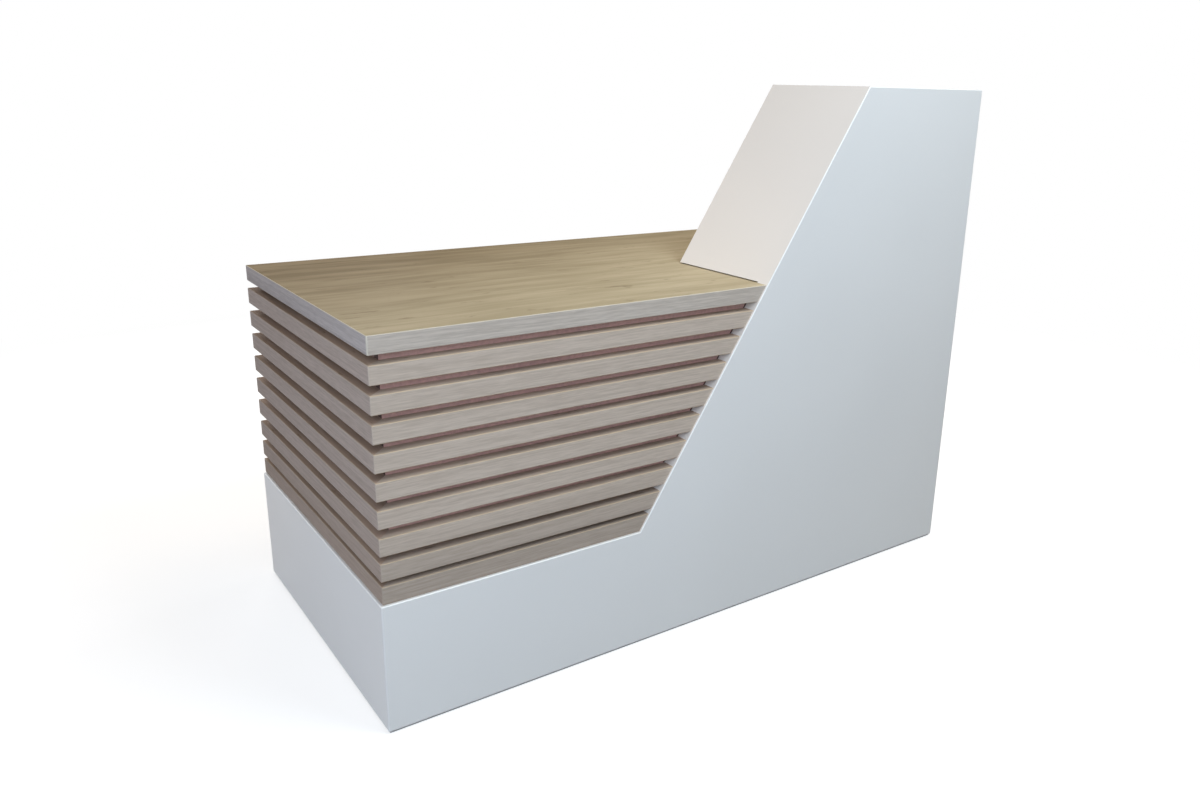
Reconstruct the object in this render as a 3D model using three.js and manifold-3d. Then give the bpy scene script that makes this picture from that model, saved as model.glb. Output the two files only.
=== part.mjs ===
// A reception desk: a white lacquered front that rises into a slanted counter tower, an oak worktop,
// and stacked oak slats that wrap the front and the left side of a brown carcass.
//
// Millimetres, +Z up. Visitors stand on the -Y side, staff sit on the +Y side, and the tower is at +X.
// The origin is on the floor, below the middle of the desk.
// Inside the desk group, x runs right from the left face, y runs back from the front face
// and z runs up from the lower edge of the boards.
import * as THREE from "three";
import { mergeVertices } from "three/addons/utils/BufferGeometryUtils.js";
import Module from "manifold-3d";

// Driving dimensions of the desk
const deskWidth = 1535;
const deskDepth = 748;
const plinthHeight = 258;
const floorGap = 4;

// Driving dimensions of the tower
const towerHeight = 1160;
const towerDepth = 310;
const slantFootX = 559; // where the slanted edge leaves the plinth
const slantHeadX = 1144; // where the slanted edge reaches the top of the tower
const towerBoard = 18;
const towerShadowGap = 2.5; // dark line between the slanted panel and the worktop

// Boards of the front, the carcass and the worktop
const claddingBoard = 34;
const carcassBoard = 18;
const carcassJointGap = 4; // dark joint between the slat carcass and the tower carcass
const worktopBoard = 34;

// Slats, counted from the plinth up
const slatCount = 9;
const slatHeight = 35;
const slatInset = 5; // slats and worktop stand this far behind the plinth's faces
const slatGap = 17.1;
const firstSlatGap = 10; // the two lowest gaps are tighter than the rest
const secondSlatGap = 13.5;

// Worktop brackets and their screws
const bracketLeg = 40;
const bracketWidth = 30;
const bracketSteel = 2.5;
const screwHoleReach = 24; // from the bracket's corner to each screw hole
const screwRadius = 2;
const screwLength = 16;
const screwHeadRadius = 4.2;
const screwHeadHeight = 2.6;

// Levelling feet and the blocks they screw into
const blockWidth = 44;
const blockHeight = 40;
const blockLift = 10; // from the lower edge of the boards to the block
const studRadius = 5;
const studEndAboveBlock = 12;
const padRadius = 20;
const padRim = 5;
const padNeckRadius = 9;
const fixingFromEnd = 90; // from the end of a carcass side to the middle of its fixings

// Clearances
const fitGap = 0.3; // between boards that meet
const screwHoleClearance = 0.4;
const pilotClearance = 0.2;
const pilotOverrun = 2;
const studClearance = 0.25;
const roundSides = 24;
const screwSides = 12;

// Places worked out from the driving dimensions
const mitreSetback = fitGap / Math.SQRT2;
const backingFace = claddingBoard + fitGap;
const carcassInner = backingFace + carcassBoard;
const rightInner = deskWidth - carcassBoard;
const towerRightInner = deskWidth - towerBoard;
const slatBottoms = slatLevels();
const worktopUnderside = slatBottoms[slatCount];
const worktopTop = worktopUnderside + worktopBoard;
const carcassTop = worktopUnderside - fitGap;
const slantRun = (slantHeadX - slantFootX) / (towerHeight - plinthHeight);
const towerBoardAcross = towerBoard * Math.hypot(1, slantRun);

// The lower faces of the slats from the plinth up, and the worktop's lower face last
function slatLevels() {
  const gaps = [firstSlatGap, secondSlatGap];
  const levels = [plinthHeight];
  for (let i = 0; i < slatCount; i += 1) {
    const gap = i < gaps.length ? gaps[i] : slatGap;
    levels.push(levels[i] + slatHeight + gap);
  }
  return levels;
}

// The slanted edge's x at a height
function slantX(z) {
  return slantFootX + (z - plinthHeight) * slantRun;
}

// Finishes
const finishes = {
  whiteLacquer: { color: 0xdfe2e6, roughness: 0.35, metalness: 0 },
  oakTop: { color: 0xb8a27e, roughness: 0.5, metalness: 0 },
  oakSlat: { color: 0xa39a90, roughness: 0.55, metalness: 0 },
  brownCarcass: { color: 0x7d5f5a, roughness: 0.6, metalness: 0 },
  zincSteel: { color: 0xb4b6b8, roughness: 0.35, metalness: 1 },
  blackNylon: { color: 0x1e1f21, roughness: 0.6, metalness: 0 },
};

// Booleans
const wasm = await Module();
wasm.setup();

function solidOf(geometry) {
  const bare = geometry.clone();
  bare.deleteAttribute("normal");
  bare.deleteAttribute("uv");
  const merged = mergeVertices(bare);
  const mesh = new wasm.Mesh({
    numProp: 3,
    vertProperties: merged.attributes.position.array,
    triVerts: new Uint32Array(merged.index.array),
  });
  return new wasm.Manifold(mesh);
}

function drilled(geometry, holes) {
  const solid = holes.reduce((rest, hole) => rest.subtract(solidOf(hole)), solidOf(geometry));
  const mesh = solid.getMesh();
  const result = new THREE.BufferGeometry();
  result.setAttribute("position", new THREE.BufferAttribute(mesh.vertProperties, 3));
  result.setIndex(new THREE.BufferAttribute(mesh.triVerts, 1));
  result.computeVertexNormals();
  return result;
}

// Shapes
// A square-cut board between its lowest and highest corner
function board([x0, y0, z0], [x1, y1, z1]) {
  const geometry = new THREE.BoxGeometry(x1 - x0, y1 - y0, z1 - z0);
  return geometry.translate((x0 + x1) / 2, (y0 + y1) / 2, (z0 + z1) / 2);
}

// A board whose outline is drawn on X and Z, between two depths
function uprightBoard(outline, yFront, yBack) {
  const shape = new THREE.Shape(outline.map(([x, z]) => new THREE.Vector2(x, z)));
  const geometry = new THREE.ExtrudeGeometry(shape, { depth: yBack - yFront, bevelEnabled: false });
  return geometry.rotateX(Math.PI / 2).translate(0, yBack, 0);
}

// A board whose outline is drawn on X and Y, between two heights
function flatBoard(outline, zLow, zHigh) {
  const shape = new THREE.Shape(outline.map(([x, y]) => new THREE.Vector2(x, y)));
  const geometry = new THREE.ExtrudeGeometry(shape, { depth: zHigh - zLow, bevelEnabled: false });
  return geometry.translate(0, 0, zLow);
}

// Moves each corner of a board, so that an end can be cut at an angle
function cutEnds(geometry, moveCorner) {
  const position = geometry.getAttribute("position");
  const corner = new THREE.Vector3();
  for (let i = 0; i < position.count; i += 1) {
    moveCorner(corner.fromBufferAttribute(position, i));
    position.setXYZ(i, corner.x, corner.y, corner.z);
  }
  return geometry;
}

// A round solid turned about Z from [radius, height] points
function turned(profile, sides) {
  const points = profile.map(([radius, height]) => new THREE.Vector2(radius, height));
  return new THREE.LatheGeometry(points, sides).rotateX(Math.PI / 2);
}

// A drill along local +X or +Z, from the origin's side of a screw hole
function drillBit(radius, start, end) {
  const geometry = new THREE.CylinderGeometry(radius, radius, end - start, screwSides);
  return geometry.translate(0, (start + end) / 2, 0);
}

// The desk's group puts the middle of its footprint on the origin, standing on its feet
const desk = new THREE.Group();
desk.position.set(-deskWidth / 2, -deskDepth / 2, floorGap);

function piece(name, finish, geometry, parent = desk) {
  const mesh = new THREE.Mesh(geometry, new THREE.MeshStandardMaterial(finishes[finish]));
  mesh.name = name;
  parent.add(mesh);
  return mesh;
}

// Fixing stations: where the carcass carries a bracket at the top and a foot at the bottom.
// A station's own +X points from the carcass's inner face into the desk.
const inFront = carcassInner + fixingFromEnd;
const atBack = deskDepth - fixingFromEnd;
const frontQuarter = (rightInner - carcassInner) / 4;
const stations = [
  { x: carcassInner, y: inFront, turn: 0, panel: "side" },
  { x: carcassInner, y: atBack, turn: 0, panel: "side" },
  { x: carcassInner + frontQuarter, y: carcassInner, turn: Math.PI / 2, panel: "front" },
  { x: rightInner - frontQuarter, y: carcassInner, turn: Math.PI / 2, panel: "tower" },
  { x: rightInner, y: inFront, turn: Math.PI, panel: "right" },
  { x: rightInner, y: atBack, turn: Math.PI, panel: "right" },
];

function stationMatrix({ x, y, turn }, z) {
  return new THREE.Matrix4().makeRotationZ(turn).setPosition(x, y, z);
}

function stationGroup(station, z) {
  const group = new THREE.Group();
  group.applyMatrix4(stationMatrix(station, z));
  desk.add(group);
  return group;
}

// Screw holes of one bracket, in its station: into the worktop along +Z, into the panel along -X
const screwSeat = fitGap + bracketSteel;
const holeReach = fitGap + screwHoleReach;

function alongWorktop(geometry) {
  return geometry.rotateX(Math.PI / 2).translate(holeReach, 0, 0);
}

function alongPanel(geometry) {
  return geometry.rotateZ(Math.PI / 2).translate(0, 0, -holeReach);
}

function pilotHoles(panel, along) {
  const pilotRadius = screwRadius + pilotClearance;
  const pilotDepth = screwLength - screwSeat + pilotOverrun;
  return stations
    .filter((station) => panel === "worktop" || station.panel === panel)
    .map((station) => {
      const hole = along(drillBit(pilotRadius, -fitGap - pilotOverrun, pilotDepth));
      return hole.applyMatrix4(stationMatrix(station, worktopUnderside));
    });
}

// White front: one board from the plinth strip up to the top of the tower, mitred at the plinth's corner
function frontPanel() {
  const outline = [
    [0, 0],
    [deskWidth, 0],
    [deskWidth, towerHeight],
    [slantHeadX, towerHeight],
    [slantFootX, plinthHeight],
    [0, plinthHeight],
  ];
  const geometry = uprightBoard(outline, 0, claddingBoard);
  return cutEnds(geometry, (corner) => {
    corner.x = corner.x > 0 ? corner.x : corner.y + mitreSetback;
  });
}

// White plinth of the left side, mitred to the front
function plinthSidePanel() {
  const geometry = board([0, 0, 0], [claddingBoard, 1, plinthHeight]);
  return cutEnds(geometry, (corner) => {
    corner.y = corner.y > 0.5 ? deskDepth : corner.x + mitreSetback;
  });
}

// Brown carcass behind the slats and behind the tower's front, which meet in an open joint along the
// slanted edge, and the white right end
function frontCarcassPanel() {
  const outline = [
    [backingFace, 0],
    [slantFootX - carcassJointGap, 0],
    [slantFootX - carcassJointGap, plinthHeight],
    [slantX(carcassTop) - carcassJointGap, carcassTop],
    [backingFace, carcassTop],
  ];
  const geometry = uprightBoard(outline, backingFace, carcassInner);
  return drilled(geometry, pilotHoles("front", alongPanel));
}

function towerCarcassPanel() {
  const outline = [
    [slantFootX, 0],
    [rightInner - fitGap, 0],
    [rightInner - fitGap, carcassTop],
    [slantX(carcassTop), carcassTop],
    [slantFootX, plinthHeight],
  ];
  const geometry = uprightBoard(outline, backingFace, carcassInner);
  return drilled(geometry, pilotHoles("tower", alongPanel));
}

function sideCarcassPanel() {
  const geometry = board([backingFace, carcassInner + fitGap, 0], [carcassInner, deskDepth, carcassTop]);
  return drilled(geometry, pilotHoles("side", alongPanel));
}

function rightEndPanel() {
  const geometry = board([rightInner, backingFace, 0], [deskWidth, deskDepth, carcassTop]);
  return drilled(geometry, pilotHoles("right", alongPanel));
}

// Oak worktop: its front strip stops at the slanted edge, and the rest runs on behind the white front
function worktop() {
  const stripEnd = slantX(worktopTop);
  const outline = [
    [slatInset, slatInset],
    [stripEnd, slatInset],
    [stripEnd, backingFace],
    [deskWidth, backingFace],
    [deskWidth, deskDepth],
    [slatInset, deskDepth],
  ];
  const geometry = flatBoard(outline, worktopUnderside, worktopTop);
  cutEnds(geometry, (corner) => {
    const onStripEnd = Math.abs(corner.x - stripEnd) < fitGap;
    corner.x = onStripEnd ? slantX(corner.z) - fitGap : corner.x;
  });
  return drilled(geometry, pilotHoles("worktop", alongWorktop));
}

// One course of slats: the front slat ends on the slanted edge, and both are mitred at the corner
function frontSlat(zLow) {
  const geometry = board([0, slatInset, zLow], [1, claddingBoard, zLow + slatHeight]);
  return cutEnds(geometry, (corner) => {
    corner.x = corner.x > 0.5 ? slantX(corner.z) - fitGap : corner.y + mitreSetback;
  });
}

function sideSlat(zLow) {
  const geometry = board([slatInset, 0, zLow], [claddingBoard, 1, zLow + slatHeight]);
  return cutEnds(geometry, (corner) => {
    corner.y = corner.y > 0.5 ? deskDepth : corner.x + mitreSetback;
  });
}

// White tower behind the front: slanted panel, back, right side and top
function towerSlantPanel() {
  const low = worktopTop + towerShadowGap;
  const outline = [
    [slantX(low), low],
    [slantX(low) + towerBoardAcross, low],
    [slantHeadX + towerBoardAcross, towerHeight],
    [slantHeadX, towerHeight],
  ];
  return uprightBoard(outline, backingFace, towerDepth);
}

function towerBackPanel() {
  const inset = towerBoardAcross + fitGap;
  const low = worktopTop + fitGap;
  const high = towerHeight - towerBoard - fitGap;
  const outline = [
    [slantX(low) + inset, low],
    [towerRightInner - fitGap, low],
    [towerRightInner - fitGap, high],
    [slantX(high) + inset, high],
  ];
  return uprightBoard(outline, towerDepth - towerBoard, towerDepth);
}

function towerTopPanel() {
  const inset = towerBoardAcross + fitGap;
  const low = towerHeight - towerBoard;
  const outline = [
    [slantX(low) + inset, low],
    [towerRightInner - fitGap, low],
    [towerRightInner - fitGap, towerHeight],
    [slantHeadX + inset, towerHeight],
  ];
  return uprightBoard(outline, backingFace, towerDepth);
}

function towerSidePanel() {
  return board([towerRightInner, backingFace, worktopTop + fitGap], [deskWidth, towerDepth, towerHeight]);
}

// Steel angle under the worktop, with one screw hole in each leg
function bracket() {
  const outer = fitGap + bracketLeg;
  const inner = fitGap + bracketSteel;
  const outline = [
    [fitGap, -outer],
    [inner, -outer],
    [inner, -inner],
    [outer, -inner],
    [outer, -fitGap],
    [fitGap, -fitGap],
  ];
  const geometry = uprightBoard(outline, -bracketWidth / 2, bracketWidth / 2);
  const bit = () => drillBit(screwRadius + screwHoleClearance, -bracketLeg, bracketLeg);
  const shortBit = () => drillBit(screwRadius + screwHoleClearance, -screwHoleReach / 2, screwHoleReach / 2);
  return drilled(geometry, [alongWorktop(bit()), alongPanel(shortBit())]);
}

// Domed wood screw on local Y: its head's seat is at the origin and its shank runs along +Y
function screw() {
  const dome = 0.55;
  const profile = [
    [0, -screwHeadHeight],
    [screwHeadRadius * dome, -screwHeadHeight * (1 - dome / 4)],
    [screwHeadRadius, -screwHeadHeight * (1 - dome)],
    [screwHeadRadius, 0],
    [screwRadius, 0],
    [screwRadius, screwLength - 2 * screwRadius],
    [0, screwLength],
  ];
  const points = profile.map(([radius, along]) => new THREE.Vector2(radius, along));
  return new THREE.LatheGeometry(points, screwSides);
}

// Nylon block on the carcass's foot, with the hole that its levelling stud turns in
function levellingBlock() {
  const shape = new THREE.Shape();
  shape.moveTo(fitGap, -blockWidth / 2);
  shape.lineTo(fitGap + blockWidth, -blockWidth / 2);
  shape.lineTo(fitGap + blockWidth, blockWidth / 2);
  shape.lineTo(fitGap, blockWidth / 2);
  shape.closePath();
  const hole = new THREE.Path();
  hole.absarc(fitGap + blockWidth / 2, 0, studRadius + studClearance, 0, 2 * Math.PI, true);
  shape.holes.push(hole);
  const settings = { depth: blockHeight, bevelEnabled: false, curveSegments: roundSides / 2 };
  return new THREE.ExtrudeGeometry(shape, settings).translate(0, 0, blockLift);
}

// Levelling foot: a round pad on the floor and the stud that screws up into the block
function levellingFoot() {
  const padTop = padRim - floorGap;
  const studEnd = blockLift + blockHeight + studEndAboveBlock;
  const profile = [
    [0, -floorGap],
    [padRadius, -floorGap],
    [padRadius, padTop],
    [padNeckRadius, blockLift - padRim],
    [studRadius, blockLift - padRim],
    [studRadius, studEnd],
    [0, studEnd],
  ];
  return turned(profile, roundSides).translate(fitGap + blockWidth / 2, 0, 0);
}

piece("front_panel", "whiteLacquer", frontPanel());
piece("plinth_side_panel", "whiteLacquer", plinthSidePanel());
piece("front_carcass_panel", "brownCarcass", frontCarcassPanel());
piece("tower_carcass_panel", "brownCarcass", towerCarcassPanel());
piece("side_carcass_panel", "brownCarcass", sideCarcassPanel());
piece("right_end_panel", "whiteLacquer", rightEndPanel());
piece("worktop", "oakTop", worktop());
piece("tower_slant_panel", "whiteLacquer", towerSlantPanel());
piece("tower_back_panel", "whiteLacquer", towerBackPanel());
piece("tower_top_panel", "whiteLacquer", towerTopPanel());
piece("tower_side_panel", "whiteLacquer", towerSidePanel());

for (let i = 0; i < slatCount; i += 1) {
  const bed = slatBottoms[i] + (i === 0 ? fitGap : 0);
  piece(`front_slat_${i + 1}`, "oakSlat", frontSlat(bed));
  piece(`side_slat_${i + 1}`, "oakSlat", sideSlat(bed));
}

stations.forEach((station, i) => {
  const top = stationGroup(station, worktopUnderside);
  piece(`worktop_bracket_${i + 1}`, "zincSteel", bracket(), top);
  const worktopScrew = piece(`worktop_screw_${i + 1}`, "zincSteel", screw(), top);
  worktopScrew.position.set(holeReach, 0, -screwSeat - fitGap);
  worktopScrew.rotation.x = Math.PI / 2;
  const panelScrew = piece(`panel_screw_${i + 1}`, "zincSteel", screw(), top);
  panelScrew.position.set(screwSeat + fitGap, 0, -holeReach);
  panelScrew.rotation.z = Math.PI / 2;
  const foot = stationGroup(station, 0);
  piece(`levelling_block_${i + 1}`, "blackNylon", levellingBlock(), foot);
  piece(`levelling_foot_${i + 1}`, "zincSteel", levellingFoot(), foot);
});

export default desk;
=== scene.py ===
"""Dresses the reception desk: lacquered front, oak worktop and slats, brown carcass and its fixings.

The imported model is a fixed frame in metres, with the visitors' front facing -Y and the tower at +X.
Every piece but the brown boards is rebuilt with its small rounds in the place its node holds, and every
finish is worked out from a piece's own coordinates.
"""

import logging
import math
from dataclasses import dataclass
from enum import Enum
from typing import Any, Callable, Mapping, Sequence

import bpy
import numpy as np
from numpy.typing import NDArray
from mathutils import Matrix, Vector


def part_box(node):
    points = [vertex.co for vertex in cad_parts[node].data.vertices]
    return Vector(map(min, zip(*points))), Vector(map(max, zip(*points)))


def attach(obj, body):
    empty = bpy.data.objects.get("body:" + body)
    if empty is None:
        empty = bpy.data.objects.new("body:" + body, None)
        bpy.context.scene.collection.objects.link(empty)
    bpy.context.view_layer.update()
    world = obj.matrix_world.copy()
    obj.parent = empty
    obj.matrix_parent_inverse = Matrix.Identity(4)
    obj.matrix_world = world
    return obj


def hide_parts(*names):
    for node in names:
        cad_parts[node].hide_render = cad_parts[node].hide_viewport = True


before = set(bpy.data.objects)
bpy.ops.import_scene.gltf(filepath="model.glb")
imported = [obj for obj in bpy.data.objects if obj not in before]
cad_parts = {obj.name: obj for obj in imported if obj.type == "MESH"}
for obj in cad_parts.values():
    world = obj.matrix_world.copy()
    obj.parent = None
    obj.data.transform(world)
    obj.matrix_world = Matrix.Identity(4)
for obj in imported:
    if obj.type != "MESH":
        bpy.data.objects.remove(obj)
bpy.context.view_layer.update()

Array = NDArray[np.float64]
Flags = NDArray[np.bool_]
Warp = Callable[[Array], Array]
Socket = bpy.types.NodeSocket
Triple = tuple[float, float, float]
Colour = Triple
Direction = Triple
Span = tuple[float, float]

LOG = logging.getLogger("reception_desk")
MM = 0.001
DESK = "desk"
SLAT_COURSES = 9
UPWARD: Direction = (0.0, 0.0, 1.0)
CREASE = math.radians(38.0)


# Meshes

class EdgeKind(Enum):
    """How one edge of a board's outline is finished."""

    SQUARE = "square"
    EASED = "eased"
    MITRED = "mitred"


class Facing(Enum):
    """The way a board's outer face looks, as its right, up and out directions seen from outside."""

    FRONT = ((1, 0, 0), (0, 0, 1), (0, -1, 0))
    LEFT = ((0, -1, 0), (0, 0, 1), (-1, 0, 0))
    RIGHT = ((0, 1, 0), (0, 0, 1), (1, 0, 0))
    TOP = ((1, 0, 0), (0, 1, 0), (0, 0, 1))


def piece_from_mesh(
    name: str,
    vertices: Array,
    faces: Sequence[Sequence[int]],
    smooth: Sequence[bool],
    arris: Array | None = None,
) -> bpy.types.Object:
    """Puts a mesh into the scene at the origin.

    Args:
        name: the piece's name.
        vertices: corner places in metres.
        faces: corner numbers of each face, turned outwards.
        smooth: whether each face is shaded smooth.
        arris: how far each corner lies on a rounded arris, from 0 to 1.

    Returns:
        The new object.
    """
    mesh = bpy.data.meshes.new(name)
    corners = np.asarray(vertices, float).reshape(-1, 3)
    mesh.from_pydata(corners, [], [list(map(int, face)) for face in faces])
    mesh.polygons.foreach_set("use_smooth", np.asarray(smooth, bool))
    if arris is not None:
        attribute = mesh.attributes.new("arris", "FLOAT", "POINT")
        attribute.data.foreach_set("value", np.asarray(arris, np.float32).ravel())
    mesh.update()
    piece = bpy.data.objects.new(name, mesh)
    bpy.context.scene.collection.objects.link(piece)
    return piece


def grid_faces(rows: int, columns: int, looped: bool = False) -> NDArray[np.int64]:
    """Numbers the quads of a grid whose columns join up, each facing the way row x column points.

    Args:
        rows: rows of corners.
        columns: corners in a row.
        looped: whether the last row joins the first.

    Returns:
        Four corner numbers for each quad.
    """
    column = np.arange(columns)
    after = (column + 1) % columns
    row = np.arange(rows if looped else rows - 1)[:, None]
    here, there = row * columns, (row + 1) % rows * columns
    quads = np.stack([here + column, there + column, there + after, here + after], axis=-1)
    return quads.reshape(-1, 4)


def grid_piece(name: str, places: Array, looped: bool = False) -> bpy.types.Object:
    """Skins a grid of places, with flat ends and with a crease wherever it turns sharply.

    Args:
        name: the piece's name.
        places: the grid, shape (rows, columns, 3).
        looped: whether the last row joins the first, which leaves no ends.

    Returns:
        The new object.
    """
    rows, columns = places.shape[:2]
    faces = list(grid_faces(rows, columns, looped))
    smooth = [True] * len(faces)
    if not looped:
        faces += [np.arange(columns), np.arange((rows - 1) * columns, rows * columns)[::-1]]
        smooth += [False, False]
    piece = piece_from_mesh(name, places, faces, smooth)
    piece.data.set_sharp_from_angle(angle=CREASE)
    return piece


def arc_points(centre: Span, radius: float, start: float, end: float, steps: int = 3) -> Array:
    """Gives points on an arc: centre + radius (cos a, sin a), with a from start to end in degrees.

    Args:
        centre: the arc's centre.
        radius: its radius in metres.
        start: first angle.
        end: last angle.
        steps: equal steps between them.

    Returns:
        One row for each point.
    """
    angle = np.radians(np.linspace(start, end, steps + 1))
    return np.stack([centre[0] + radius * np.cos(angle), centre[1] + radius * np.sin(angle)], axis=-1)


def rectangle(left: float, low: float, right: float, high: float) -> Array:
    """Gives a rectangle's corners, counter-clockwise from the low left one."""
    return np.array([(left, low), (right, low), (right, high), (left, high)])


def offset_outline(outline: Array, offsets: Array) -> Array:
    """Moves each edge of an outline inwards by its own distance, and meets the edges again.

    Corner i is where edge i - 1 and edge i cross. An edge is the line n . p = n . corner + offset, with
    n its inward normal, so each corner solves two such equations.

    Args:
        outline: corners in order, counter-clockwise, shape (n, 2).
        offsets: distance for each ring and edge, shape (rings, n).

    Returns:
        Corners of each ring, shape (rings, n, 2).
    """
    along = np.roll(outline, -1, axis=0) - outline
    along /= np.linalg.norm(along, axis=1, keepdims=True)
    normal = np.stack([-along[:, 1], along[:, 0]], axis=-1)
    level = (normal * outline).sum(axis=1) + offsets
    before = np.roll(normal, 1, axis=0)
    level_before = np.roll(level, 1, axis=1)
    cross = before[:, 0] * normal[:, 1] - before[:, 1] * normal[:, 0]
    first = (level_before * normal[:, 1] - level * before[:, 1]) / cross
    second = (before[:, 0] * level - normal[:, 0] * level_before) / cross
    return np.stack([first, second], axis=-1)


@dataclass
class Board:
    """A board drawn as its outline seen from outside, with rounded arrises at its faces.

    The surface is the outline carried inwards along the board's thickness. A ring at depth d lies
    r - r sin a inside an eased edge, with d = r - r cos a and a from 0 to 90 degrees. A mitred edge
    leaves the outer arc at 45 degrees and goes on straight, d inside. outer is how far out the outer
    face lies, and corner_arris adds weight where the outline itself is rounded.
    """

    name: str
    facing: Facing
    outline: Array
    edges: Sequence[EdgeKind]
    outer: float
    thickness: float
    outer_radius: float
    inner_radius: float = 0.0
    warp: Warp | None = None
    corner_arris: Array | None = None
    arc_steps: int = 4
    smooth_from: float = 0.1

    def arris_rings(self, radius: float) -> Array:
        """Works out the rings of one face's arris, from the face inwards.

        Args:
            radius: the arris's radius, or 0 for a sharp one.

        Returns:
            Rows of depth, inward offset and arris weight, with a column for each ring.
        """
        if radius == 0.0:
            return np.zeros((3, 1))
        angle = np.radians(np.linspace(0.0, 90.0, self.arc_steps + 1))
        depth, offset = radius - radius * np.cos(angle), radius - radius * np.sin(angle)
        return np.stack([depth, offset, np.sin(2.0 * angle)])

    def rings(self) -> tuple[Array, Array, Array]:
        """Works out the rings from the outer face to the inner one.

        Returns:
            Depth, inward offset on an eased edge, and arris weight of each ring.
        """
        outer, inner = self.arris_rings(self.outer_radius), self.arris_rings(self.inner_radius)[:, ::-1]
        inner[0] = self.thickness - inner[0]
        depth, offset, arris = np.concatenate([outer, inner], axis=1)
        return depth, offset, arris

    def build(self) -> bpy.types.Object:
        """Makes the board's closed mesh.

        Returns:
            The new object.
        """
        depth, eased, arris = self.rings()
        mitred = np.where(depth < self.outer_radius * (1.0 - math.sqrt(0.5)), eased, depth)
        by_kind = {EdgeKind.SQUARE: np.zeros_like(depth), EdgeKind.EASED: eased, EdgeKind.MITRED: mitred}
        offsets = np.stack([by_kind[kind] for kind in self.edges], axis=1)
        flat = offset_outline(np.asarray(self.outline, float), offsets)
        right, up, out = (np.array(direction, float) for direction in self.facing.value)
        place = flat[..., :1] * right + flat[..., 1:] * up + (self.outer - depth)[:, None, None] * out
        rings, corners = flat.shape[:2]
        vertices = place.reshape(-1, 3)
        if self.warp is not None:
            vertices = self.warp(vertices)
        rounded = arris[:-1] + arris[1:] > self.smooth_from
        smooth = np.repeat(rounded, corners) | np.tile(self.curved_edges(), rings - 1)
        inner_cap = np.arange((rings - 1) * corners, rings * corners)[::-1]
        faces = [*grid_faces(rings, corners), np.arange(corners), inner_cap]
        weights = np.repeat(arris[:, None], corners, axis=1)
        if self.corner_arris is not None:
            weights[1:-1] = np.maximum(weights[1:-1], self.corner_arris)
        piece = piece_from_mesh(self.name, vertices, faces, [*smooth, False, False], weights)
        self.split_corners(piece.data)
        return piece

    def hard_corners(self) -> Flags:
        """Finds the outline's hard corners, by the turn from the edge before to the edge after.

        Returns:
            Whether each corner is hard.
        """
        along = np.roll(self.outline, -1, axis=0) - self.outline
        heading = np.arctan2(along[:, 1], along[:, 0])
        turn = np.abs(np.angle(np.exp(1j * (heading - np.roll(heading, 1)))))
        return turn > CREASE

    def curved_edges(self) -> Flags:
        """Finds the edges that belong to a rounded corner, with no hard corner at either end."""
        hard = self.hard_corners()
        return ~(hard | np.roll(hard, -1))

    def split_corners(self, mesh: bpy.types.Mesh) -> None:
        """Breaks the shading along each hard corner, so that an arris looks the same all along.

        Args:
            mesh: the board's mesh, whose vertices count round each ring in turn.
        """
        ends = np.empty(2 * len(mesh.edges), np.int32)
        mesh.edges.foreach_get("vertices", ends)
        start, end = ends.reshape(-1, 2).T % len(self.outline)
        sharp = mesh.attributes.new("sharp_edge", "BOOLEAN", "EDGE")
        sharp.data.foreach_set("value", (start == end) & self.hard_corners()[start])


# Finishes

def srgb(red: int, green: int, blue: int) -> Colour:
    """Gives the linear colour of a display colour.

    Args:
        red: red from 0 to 255.
        green: green from 0 to 255.
        blue: blue from 0 to 255.

    Returns:
        The linear red, green and blue.
    """
    display = np.array([red, green, blue]) / 255.0
    linear = np.where(display <= 0.04045, display / 12.92, ((display + 0.055) / 1.055) ** 2.4)
    return tuple(float(channel) for channel in linear)


def rgba(colour: Colour) -> tuple[float, float, float, float]:
    """Adds full opacity to a colour."""
    return (*colour, 1.0)


@dataclass(frozen=True)
class Tone:
    """The light and the dark shade that a pattern runs between."""

    light: Colour
    dark: Colour


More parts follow.
